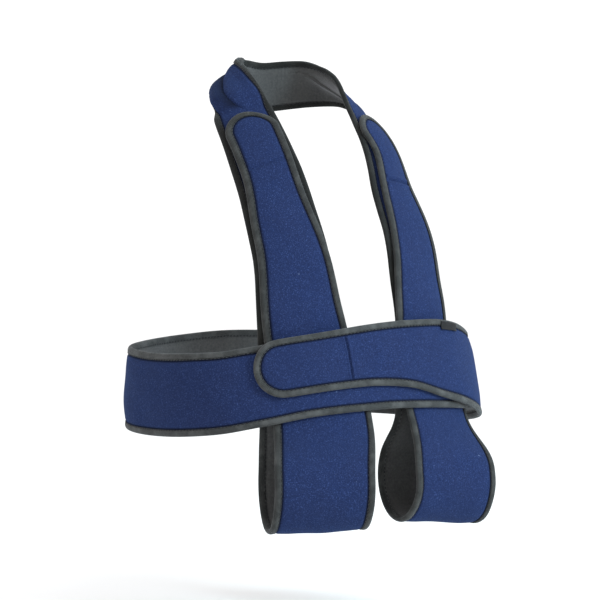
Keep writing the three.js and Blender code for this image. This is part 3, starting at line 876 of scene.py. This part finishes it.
def pile_material():
    """Brushed blue loop pile: fine speckle, cloudy nap, a little lint, and dark where it is shaded."""
    n = Nodes("blue_pile")
    space = n.space()
    speckle = n.noise(space, 800, 3, 0.7)
    tufts = n.noise(space, 330, 2, 0.6)
    nap = n.noise(space, 26, 4, 0.6)
    base = n.blend(n.ramp(speckle, 0.3, 0.72), PILE_DEEP, PILE_LIT)
    base = n.blend(n.ramp(tufts, 0.35, 0.68, 0, 0.4), base, PILE_TUFT)
    base = n.blend(n.ramp(nap, 0.3, 0.72, 0, 0.5), base, PILE_NAP)
    flecks = n.noise(space, 1000, 1, 0.5)
    base = n.blend(n.ramp(flecks, 0.55, 0.7, 0, 0.7), base, PILE_FLECK)
    lint = n.noise(space, 260, 1, 0.4)
    base = n.blend(n.ramp(lint, 0.8, 0.84, 0, 0.45), base, PILE_LINT)
    shade = n.node("ShaderNodeAttribute", "Fac", attribute_name="shade")
    base = n.blend(n.ramp(shade, 0, 1, 0, 0.92), base, PILE_SHADED)
    loops = n.bump(speckle, 0.0006, 0.75)
    soft = n.bump(tufts, 0.0009, 0.4, loops)
    return n.finish(base, 0.95, soft, 0.06, PILE_SHEEN, 0.5)


def lining_material():
    """Charcoal knitted lining: fine courses with a soft haze of loops."""
    n = Nodes("charcoal_lining")
    space = n.space()
    courses = n.bands(n.cloth(), "X", 210, 1.4, detail_scale=3)
    haze = n.noise(space, 420, 3, 0.65)
    cloud = n.noise(space, 30, 3, 0.5)
    colour = n.blend(n.ramp(haze, 0.3, 0.7), LINING_DARK, LINING_LIGHT)
    colour = n.blend(n.ramp(courses, 0.2, 0.9, 0, 0.4), colour, LINING_COURSE)
    colour = n.blend(n.ramp(cloud, 0.35, 0.7, 0, 0.35), colour, LINING_CLOUD)
    knit = n.bump(courses, 0.0004, 0.5)
    soft = n.bump(haze, 0.0006, 0.5, knit)
    return n.finish(colour, 0.92, soft, 0.3, LINING_SHEEN, 0.5)


def tape_material(name, dark, light, worn):
    """Woven binding tape: fine ribs across it, a weave along it, rubbed in patches, and a painted shadow
    along its lap edge by the pile.
    """
    n = Nodes(name)
    space = n.space()
    cloth = n.cloth()
    ribs = n.bands(cloth, "X", 330, 0.35, detail=1)
    wefts = n.bands(cloth, "Y", 260, 0.3, detail=1)
    yarns = n.product(ribs, wefts)
    fibre = n.noise(space, 900, 2, 0.6)
    rub = n.noise(space, 60, 4, 0.6)
    colour = n.blend(n.ramp(yarns, 0, 0.8), dark, light)
    colour = n.blend(n.ramp(fibre, 0.3, 0.75, 0, 0.3), colour, dark)
    colour = n.blend(n.ramp(rub, 0.45, 0.75, 0, 0.5), colour, worn)
    split = n.tree.nodes.new("ShaderNodeSeparateXYZ")
    n.link(cloth, split.inputs["Vector"])
    # Painted shadow: a dark band along the tape's lap edge on the blue face, where it meets the pile
    hem_shadow = n.ramp(split.outputs["Y"], HEM_SHADOW * MM, HEM_SHADOW_END * MM, HEM_SHADOW_DARKNESS, 0)
    colour = n.blend(hem_shadow, colour, dark)
    weave = n.bump(yarns, 0.00035, 0.6)
    fuzz = n.bump(fibre, 0.0003, 0.35, weave)
    return n.finish(colour, 0.8, fuzz, 0.15, TAPE_SHEEN, 0.4)


def thread_material():
    """Dark sewing thread with a fine twist."""
    n = Nodes("dark_thread")
    twist = n.noise(n.space(), 1500, 1, 0.5)
    colour = n.blend(n.ramp(twist, 0.3, 0.7), THREAD_DARK, THREAD_LIGHT)
    return n.finish(colour, 0.6, n.bump(twist, 0.0002, 0.5), 0.1)


def hook_material():
    """Black hook pad: close rows of small hooks."""
    n = Nodes("hook_pad")
    inputs = {"Vector": n.cloth(), "Scale": 800, "Randomness": 0.4}
    cells = n.node("ShaderNodeTexVoronoi", "Distance", inputs)
    colour = n.blend(n.ramp(cells, 0.1, 0.6), HOOK_TIP, HOOK_GROUND)
    return n.finish(colour, 0.55, n.bump(cells, 0.0006, 0.8))


def label_material():
    """Plain black satin: fine ribs, a little rubbed."""
    n = Nodes("label_satin")
    ribs = n.bands(n.cloth(), "Y", 420, 0.2)
    rub = n.noise(n.space(), 180, 3, 0.6)
    colour = n.blend(n.ramp(ribs, 0, 1), SATIN_DARK, SATIN_LIGHT)
    colour = n.blend(n.ramp(rub, 0.5, 0.8, 0, 0.35), colour, SATIN_RUB)
    return n.finish(colour, 0.6, n.bump(ribs, 0.0002, 0.5))


PILE = pile_material()
LINING = lining_material()
GREY_TAPE = tape_material("grey_tape", *GREY_TAPE_COLOURS)
LOOP_TAPE_SHADED = tape_material("loop_tape_shaded", *LOOP_TAPE_SHADED_COLOURS)
DARK_TAPE = tape_material("dark_tape", *DARK_TAPE_COLOURS)
THREAD_FINISH = thread_material()
HOOK_FINISH = hook_material()
LABEL_FINISH = label_material()


# Pieces of a strap


def crease_relief(creases, along, across, width):
    """How far the pile sinks at the creases across a strap, with a low swell on each side."""
    share = np.clip(across / width + 0.5, 0, 1)
    total = 0
    for left, right, depth, reach in zip(*creases.values()):
        off = (along - mix(left, right, share)) / reach
        swell = CREASE_SWELL * depth * np.exp(-((np.abs(off) - CREASE_SWELL_AT) ** 2) / 2)
        total = total - depth * np.exp(-(off**2)) + swell
    return total


def cloth_map(along, across, faces):
    """Map coordinates of a two-faced sheet's faces: the same places along and across on both faces."""
    places = np.stack([along, across], -1).reshape(-1, 2)
    return np.concatenate([places, places])[np.array(faces).ravel()]


def columns_across(half, step):
    """Places across each row of a laminate, from one rim to the other."""
    squeeze = np.minimum(1, half / (EDGE_ROOM * EDGE_COLUMNS[-1]))[:, None]
    near = half[:, None] - EDGE_COLUMNS * squeeze
    count = int(math.ceil((half.max() - EDGE_COLUMNS[-1]) / step))
    inner = near[:, -1:] * np.linspace(1, 0, count + 1)[1:]
    right = np.concatenate([near, inner], 1)
    return np.concatenate([-right, right[:, -2::-1]], 1)


def laminate(name, sheet, cut, creases, column_step):
    """The foam with its blue face and its lining, crowned between the tapes."""
    along, half = cut.rings(RIM)
    v = columns_across(half, column_step)
    columns = v.shape[1]
    s = along[:, None].repeat(columns, 1)
    inside = cut.inside_by(s, v)
    swell = smooth((inside - TAPE_LAP - GROOVE) / CROWN_RUN)
    puff = SWELL * smooth((inside - TAPE_LAP - GROOVE) / SWELL_RUN)
    thick = mix(PRESSED_FOAM, FOAM, swell)
    point, normal = sheet.at(s, v)
    outer_rise = thick / 2 + puff + swell * crease_relief(creases, s, v, 2 * half[:, None])
    outer = point + outer_rise[..., None] * normal
    inner = point - (thick / 2)[..., None] * normal
    vertices = np.concatenate([outer.reshape(-1, 3), inner.reshape(-1, 3)])
    faces, counts = two_faced(len(along), columns)
    slots = np.repeat([0, 1, 0], counts)
    uvs = cloth_map(s, v, faces)
    obj = mesh_object(name + "_foam", vertices, faces, (PILE, LINING), uvs, slots)
    shade = 1 - smooth((inside - TAPE_LAP - SHADE_START) / SHADE_RUN)
    if sheet.fold:
        shade = np.maximum(shade, sheet.fold(s, v, sheet.length)[2])
    layer = obj.data.attributes.new("shade", "FLOAT", "POINT")
    layer.data.foreach_set("value", np.tile(shade.ravel(), 2).astype(np.float32))
    place(obj, name)


def outline_distance(sheet, cut, inset):
    """The outline's points and normals set in from it, and the distance around to each."""
    along, across = cut.outline(inset)
    point, normal = sheet.at(along, across)
    steps = np.linalg.norm(np.roll(point, -1, axis=0) - point, axis=-1)
    return point, normal, np.concatenate([[0], np.cumsum(steps)])


def binding(name, sheet, cut, material):
    """The tape rolled over a strap's edge, all the way around."""
    down = [(inset, -rise) for inset, rise in reversed(TAPE_OUTER)]
    back = [(inset, -rise) for inset, rise in reversed(TAPE_INNER)]
    section = [*TAPE_OUTER, (0, 0), *down, *back, (TAPE, 0), *TAPE_INNER]
    rings = []
    for inset, rise in section:
        point, normal = sheet.at(*cut.outline(inset))
        rings.append(point + rise * normal)
    points = np.stack(rings, 1)
    count, size = points.shape[:2]
    travel = outline_distance(sheet, cut, TAPE_LAP / 2)[2]
    corner = np.array(section + section[:1])
    girth = np.concatenate([[0], np.cumsum(np.linalg.norm(np.diff(corner, axis=0), axis=-1))])
    faces, uvs = [], []
    for i in range(count):
        j = (i + 1) % count
        for k in range(size):
            m = (k + 1) % size
            faces.append((i * size + k, i * size + m, j * size + m, j * size + k))
            left, right = (travel[i], travel[i + 1]), (girth[k], girth[k + 1])
            uvs += [(left[0], right[0]), (left[0], right[1]), (left[1], right[1]), (left[1], right[0])]
    obj = mesh_object(name + "_tape", points.reshape(-1, 3), faces, (material,), uvs)
    place(obj, name + "_binding")


def sampled(values, travel, at):
    """Points or normals around a closed outline, read at distances around it."""
    closed = np.concatenate([values, values[:1]])
    return np.stack([np.interp(at, travel, closed[:, i]) for i in range(3)], -1)


def stitches(name, sheet, cut):
    """Rows of stitches along the tape's inner edge, on both faces."""
    rise = np.interp(STITCH_INSET, *zip(*sorted(TAPE_OUTER))) - STITCH_SINK
    ring_turns = np.radians(np.arange(0, 360, 360 // STITCH_SIDES))
    point, normal, travel = outline_distance(sheet, cut, STITCH_INSET)
    count = int(travel[-1] / STITCH_PITCH)
    marks = (np.arange(count) + 0.5) * travel[-1] / count
    centre, up = sampled(point, travel, marks), unit(sampled(normal, travel, marks))
    ahead = sampled(point, travel, np.minimum(marks + 1, travel[-1]))
    behind = sampled(point, travel, np.maximum(marks - 1, 0))
    run = unit(ahead - behind)
    side = unit(np.cross(run, up))
    vertices, faces = [], []
    for face in (1, -1):
        for c, u, r, w in zip(centre, up, run, side):
            base = len(vertices)
            middle = c + face * rise * u
            for reach, girth in STITCH_PROFILE:
                for turn in ring_turns:
                    lift = STITCH_FLATNESS * math.sin(turn)
                    off = THREAD / 2 * girth * (math.cos(turn) * w + lift * u)
                    sink = face * STITCH_END_SINK * (1 - girth) * u
                    vertices.append(middle + reach * STITCH_LENGTH * r + off - sink)
            last = base + (len(STITCH_PROFILE) - 1) * STITCH_SIDES
            for start in range(base, last, STITCH_SIDES):
                for k in range(STITCH_SIDES):
                    a, b = start + k, start + (k + 1) % STITCH_SIDES
                    faces.append((a, b, b + STITCH_SIDES, a + STITCH_SIDES))
            faces.append(tuple(base + k for k in range(STITCH_SIDES))[::-1])
            faces.append(tuple(last + k for k in range(STITCH_SIDES)))
    obj = mesh_object(name + "_stitches", vertices, faces, (THREAD_FINISH,))
    place(obj, None)


def hook_pad(name, sheet, cut, length):
    """The hook pad under a tongue."""
    along, half = cut.rings(TAPE_LAP + HOOK_MARGIN)
    keep = along < length
    along, half = along[keep], half[keep]
    s = along[:, None].repeat(HOOK_COLUMNS, 1)
    v = half[:, None] * np.linspace(-1, 1, HOOK_COLUMNS)[None]
    point, normal = sheet.at(s, v)
    near = point - (FOAM / 2 + SEAT) * normal
    far = near - HOOK_PAD * normal
    vertices = np.concatenate([near.reshape(-1, 3), far.reshape(-1, 3)])
    faces = two_faced(*s.shape)[0]
    uvs = cloth_map(s, v, faces)
    obj = mesh_object(name + "_hook_pad", vertices, faces, (HOOK_FINISH,), uvs)
    place(obj, name + "_hook")


def label(sheet, cut):
    """The plain label, sewn down over the tape's lap and loose at its lower edge."""
    ends = LABEL_ALONG - LABEL_LENGTH / 2, LABEL_ALONG + LABEL_LENGTH / 2
    along = np.linspace(*ends, LABEL_ROWS)
    share = np.linspace(0, 1, LABEL_COLUMNS)
    s, across = np.meshgrid(along, share, indexing="ij")
    half = cut.half_at(s)
    point, normal = sheet.at(s, half - mix(LABEL_START, LABEL_REACH, across))
    ripple = LABEL_RIPPLE * across * np.sin(LABEL_RIPPLE_TURN * s)
    corners = LABEL_CORNER_LIFT * across * ((s - LABEL_ALONG) / LABEL_LENGTH) ** 2
    near = through(LABEL_LIE["share"], LABEL_LIE["height"], across) + (ripple + corners)
    under = point + near[..., None] * normal
    over = point + (near + LABEL_CLOTH)[..., None] * normal
    vertices = np.concatenate([over.reshape(-1, 3), under.reshape(-1, 3)])
    faces = two_faced(*s.shape)[0]
    uvs = cloth_map(s, across * (LABEL_REACH - LABEL_START), faces)
    obj = mesh_object("belt_tab_label", vertices, faces, (LABEL_FINISH,), uvs)
    place(obj, "belt_tab")


# The straps


def lift_of(layer):
    """Middle height of a layer above the form: back legs -1, neck strap 0, tongues 1, belt 2 and 3."""
    return TAPE_HALF + layer * LAYER_PITCH


def level_lift(layer):
    """The lift of a strap that stays in one layer."""
    return lambda t: np.full(np.shape(t), lift_of(layer))


def outline_share(outline, along):
    """The share of the width at distances along, from an outline's table."""
    return through(outline["along"], outline["width"], along / BELT_DROP)


def neck_width_at(along, length):
    """The neck strap's width, which is wide at both ends."""
    wide = np.maximum(outline_share(NECK_OUTLINE, along), outline_share(NECK_OUTLINE, length - along))
    return mix(NECK_WIDTH, NECK_END_WIDTH, wide)


def neck_fold(along, across, length):
    """How far the neck strap slides, rises and darkens at its fold, lower at the wearer's left."""
    from_nape = np.abs(along - length / 2)
    height = through(FOLD_RUN["from_nape"], FOLD_RUN["height"], from_nape)
    height = height * np.where(along > length / 2, LEFT_FOLD, 1)
    crease = through(FOLD_RUN["from_nape"], FOLD_RUN["crease"], from_nape)
    share = np.clip(across / (neck_width_at(along, length) / 2), -1, 1)
    by_neck = mix(-1, FOLD_CREASE, (share + 1) / (crease + 1))
    by_shoulder = mix(FOLD_CREASE, 1, (share - crease) / (1 - crease))
    spot = np.where(share < crease, by_neck, by_shoulder)
    keys = ("slide", "rise", "shade")
    slide, rise, shade = [through(FOLD["across"], FOLD[key], spot) for key in keys]
    shade = smooth(FOLD_SHADE_GAIN * height) * np.clip(shade, 0, 1)
    return height * slide, height * rise, shade


def neck_sheet():
    """From the end at the wearer's right over the nape to the end at the wearer's left."""
    half = NECK_END_WIDTH / 2
    mirrored = {"around": 360 - NECK["around"][-2::-1], "level": NECK["level"][-2::-1]}
    rows = {key: np.concatenate([NECK[key], mirrored[key]]) for key in NECK}
    lines = form_lines(on_rows(rows, -1), level_lift(0), NECK_LINES, half)
    return Sheet(lines, half, neck_fold)


def loop_sheet(sign, rows, arm):
    """Tongue, front leg, the wrap under the forearm, and the back leg."""
    half = LOOP_WIDTH / 2
    front = form_lines(on_rows(rows, sign), level_lift(1), FRONT_LEG_LINES, half)
    back = form_lines(on_rows(BACK_LEG, sign), level_lift(-1), BACK_LEG_LINES, half)[:, ::-1]
    facing = math.radians(arm["facing"])
    axis = unit(np.array([math.cos(facing), math.sin(facing), math.tan(math.radians(arm["rise"]))]))
    forward = np.array([math.sin(facing), -math.cos(facing), 0])
    up = np.array([0, 0, 1])
    middle = np.array([arm["out"], -arm["forward"], -BELT_DROP - arm["below_belt"]])
    turns = np.radians(WRAP_TURNS)[:, None]
    depth, height = arm["depth"] + TAPE_HALF, arm["height"] + TAPE_HALF
    centres = middle + depth * np.sin(turns) * forward + height * np.cos(turns) * up
    wrap = centres[:, None] + (ACROSS * half)[None, :, None] * axis
    leave, meet = unit(front[-1] - front[-2]), unit(wrap[1] - wrap[0])
    part, climb = unit(wrap[-1] - wrap[-2]), unit(back[1] - back[0])
    down = bridge(front[-1], leave, wrap[0], meet, FRONT_BRIDGE_LINES)
    up_again = bridge(wrap[-1], part, back[0], climb, BACK_BRIDGE_LINES)
    return Sheet(np.concatenate([front, down, wrap, up_again, back]), half)


def belt_sheet():
    """Tongue, once round the torso, and on behind itself to the inner end."""
    half = BELT_WIDTH / 2

    def lift_at(t):
        return lift_of(by_row(BELT["layer"], t))

    return Sheet(form_lines(on_rows(BELT, 1), lift_at, BELT_LINES, half), half)


def width_from(outline, narrow, wide):
    """The width at distances along, from an outline's table."""
    return lambda along: mix(narrow, wide, outline_share(outline, along))


def strap(name, sheet, cut, creases, tape, column_step=COLUMN_STEP):
    """The foam, the tape over its edge, and the stitches."""
    laminate(name, sheet, cut, creases, column_step)
    binding(name, sheet, cut, tape)
    stitches(name, sheet, cut)


def around_creases(creases):
    """The close stretch along a strap at each of its creases."""
    stretches = []
    for left, right, _, reach in zip(*creases.values()):
        margin = CREASE_REACH * reach
        stretches.append((min(left, right) - margin, max(left, right) + margin, CREASE_STEP))
    return stretches


def neck_strap():
    sheet = neck_sheet()

    def width_at(along):
        return neck_width_at(along, sheet.length)

    nape = sheet.length / 2
    near, far = FOLD_RUN["from_nape"][0], FOLD_RUN["from_nape"][-1]
    folds = [(nape + near, nape + far, FOLD_STEP), (nape - far, nape - near, FOLD_STEP)]
    cut = Cut(sheet.length, width_at, PLAIN_CORNER, PLAIN_CORNER, folds)
    strap("neck_strap", sheet, cut, NO_CREASES, DARK_TAPE, FOLD_STEP)


def arm_loop(name, sign, rows, arm, creases):
    sheet = loop_sheet(sign, rows, arm)
    width_at = width_from(LOOP_OUTLINE, LOOP_TONGUE_WIDTH, LOOP_WIDTH)
    close = around_creases(creases)
    cut = Cut(sheet.length, width_at, LOOP_TONGUE_WIDTH / 2, PLAIN_CORNER, close)
    strap(name, sheet, cut, creases, LOOP_TAPE_SHADED)
    hook_pad(name, sheet, cut, LOOP_HOOK_LENGTH)


def chest_belt():
    sheet = belt_sheet()
    width_at = width_from(BELT_OUTLINE, BELT_TONGUE_WIDTH, BELT_WIDTH)
    close = around_creases(BELT_CREASES)
    cut = Cut(sheet.length, width_at, BELT_TONGUE_WIDTH / 2, PLAIN_CORNER, close)
    strap("chest_belt", sheet, cut, BELT_CREASES, GREY_TAPE)
    hook_pad("chest_belt", sheet, cut, BELT_HOOK_LENGTH)
    label(sheet, cut)


neck_strap()
arm_loop("elbow_loop", -1, ELBOW_LEG, ELBOW_ARM, ELBOW_CREASES)
arm_loop("wrist_loop", 1, WRIST_LEG, WRIST_ARM, WRIST_CREASES)
chest_belt()


# Floor, light and camera


def floor():
    low = cad_box[0][2] - FLOOR_DROP
    bpy.ops.mesh.primitive_plane_add(size=FLOOR_SIZE, location=(0, 0, low))
    plane = bpy.context.object
    plane.name = "floor"
    paper = bpy.data.materials.new("pale_floor")
    paper.use_nodes = True
    shader = paper.node_tree.nodes["Principled BSDF"]
    shader.inputs["Base Color"].default_value = FLOOR_COLOUR
    shader.inputs["Roughness"].default_value = FLOOR_ROUGHNESS
    plane.data.materials.append(paper)


def area_light(name, where, size, power, colour):
    """A soft light at a place that looks at the object's middle."""
    data = bpy.data.lights.new(name, "AREA")
    data.shape = "DISK"
    data.size = size
    data.energy = power
    data.color = colour
    lamp = bpy.data.objects.new(name, data)
    bpy.context.scene.collection.objects.link(lamp)
    lamp.location = where
    target = Vector(CAMERA_TARGET) * MM
    lamp.rotation_euler = (target - Vector(where)).to_track_quat("-Z", "Y").to_euler()


def lights():
    world = bpy.data.worlds.new("pale_studio")
    world.use_nodes = True
    sky = world.node_tree.nodes["Background"]
    sky.inputs["Color"].default_value = (1, 1, 1, 1)
    sky.inputs["Strength"].default_value = SKY
    bpy.context.scene.world = world
    area_light("key", **KEY_LIGHT)
    area_light("fill", **FILL_LIGHT)


def camera():
    data = bpy.data.cameras.new("camera")
    data.sensor_width = SENSOR
    data.lens = SENSOR * CAMERA_DISTANCE / FRAME_WIDTH
    eye = bpy.data.objects.new("camera", data)
    bpy.context.scene.collection.objects.link(eye)
    a, e = math.radians(CAMERA_AZIMUTH), math.radians(CAMERA_RISE)
    back = Vector((math.sin(a) * math.cos(e), -math.cos(a) * math.cos(e), math.sin(e)))
    eye.location = (Vector(CAMERA_TARGET) + back * CAMERA_DISTANCE) * MM
    eye.rotation_euler = (-back).to_track_quat("-Z", "Y").to_euler()
    bpy.context.scene.camera = eye


floor()
lights()
camera()
bpy.context.scene.view_settings.view_transform = "Standard"
